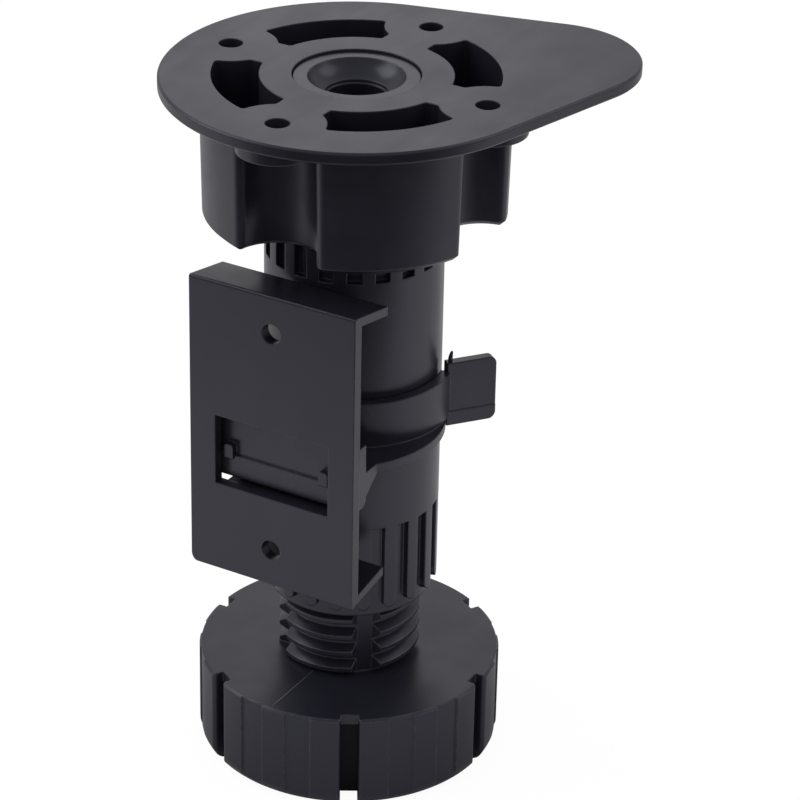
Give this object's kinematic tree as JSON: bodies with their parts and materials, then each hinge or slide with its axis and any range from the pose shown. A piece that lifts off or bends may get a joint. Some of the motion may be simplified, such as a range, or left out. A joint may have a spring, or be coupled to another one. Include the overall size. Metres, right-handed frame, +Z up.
{
  "type": "adjustable cabinet leg",
  "caption": "Screw-on cabinet leg in black plastic: four-lobed socket plate with a tongue, ribbed tube, threaded adjusting foot and a spring clip that carries a plinth plate.",
  "frame": {"origin": "on the tube's axis, at the underside of the foot", "axes": "+Z up along the leg, -Y out of the front of the plinth plate, the plate's tongue between +X and +Y"},
  "size_m": [0.0877, 0.0877, 0.155],
  "materials": {
    "mounting_plate_plastic": "satin moulded black",
    "leg_tube_plastic": "satin moulded black",
    "adjusting_foot_plastic": "satin moulded black",
    "plinth_plate_plastic": "satin moulded black",
    "spring_clip_plastic": "satin moulded black"
  },
  "bodies": {
    "foot": {"adjusting_foot": "adjusting_foot_plastic"},
    "leg": {"leg_tube": "leg_tube_plastic", "mounting_plate": "mounting_plate_plastic"},
    "clip": {"spring_clip": "spring_clip_plastic"},
    "plinth": {"plinth_plate": "plinth_plate_plastic"}
  },
  "joints": [
    {"name": "leg_slide", "type": "slide", "parent": "foot", "child": "leg", "axis": [0, 0, 1], "range_m": [-0.016, 0.03]},
    {"name": "clip_turn", "type": "hinge", "parent": "leg", "child": "clip", "pos_m": [0, 0, 0.086], "axis": [0, 0, 1], "continuous": true},
    {"name": "plinth_slide", "type": "slide", "parent": "clip", "child": "plinth", "axis": [1, 0, 0], "range_m": [-0.0008, 0.0008]}
  ]
}
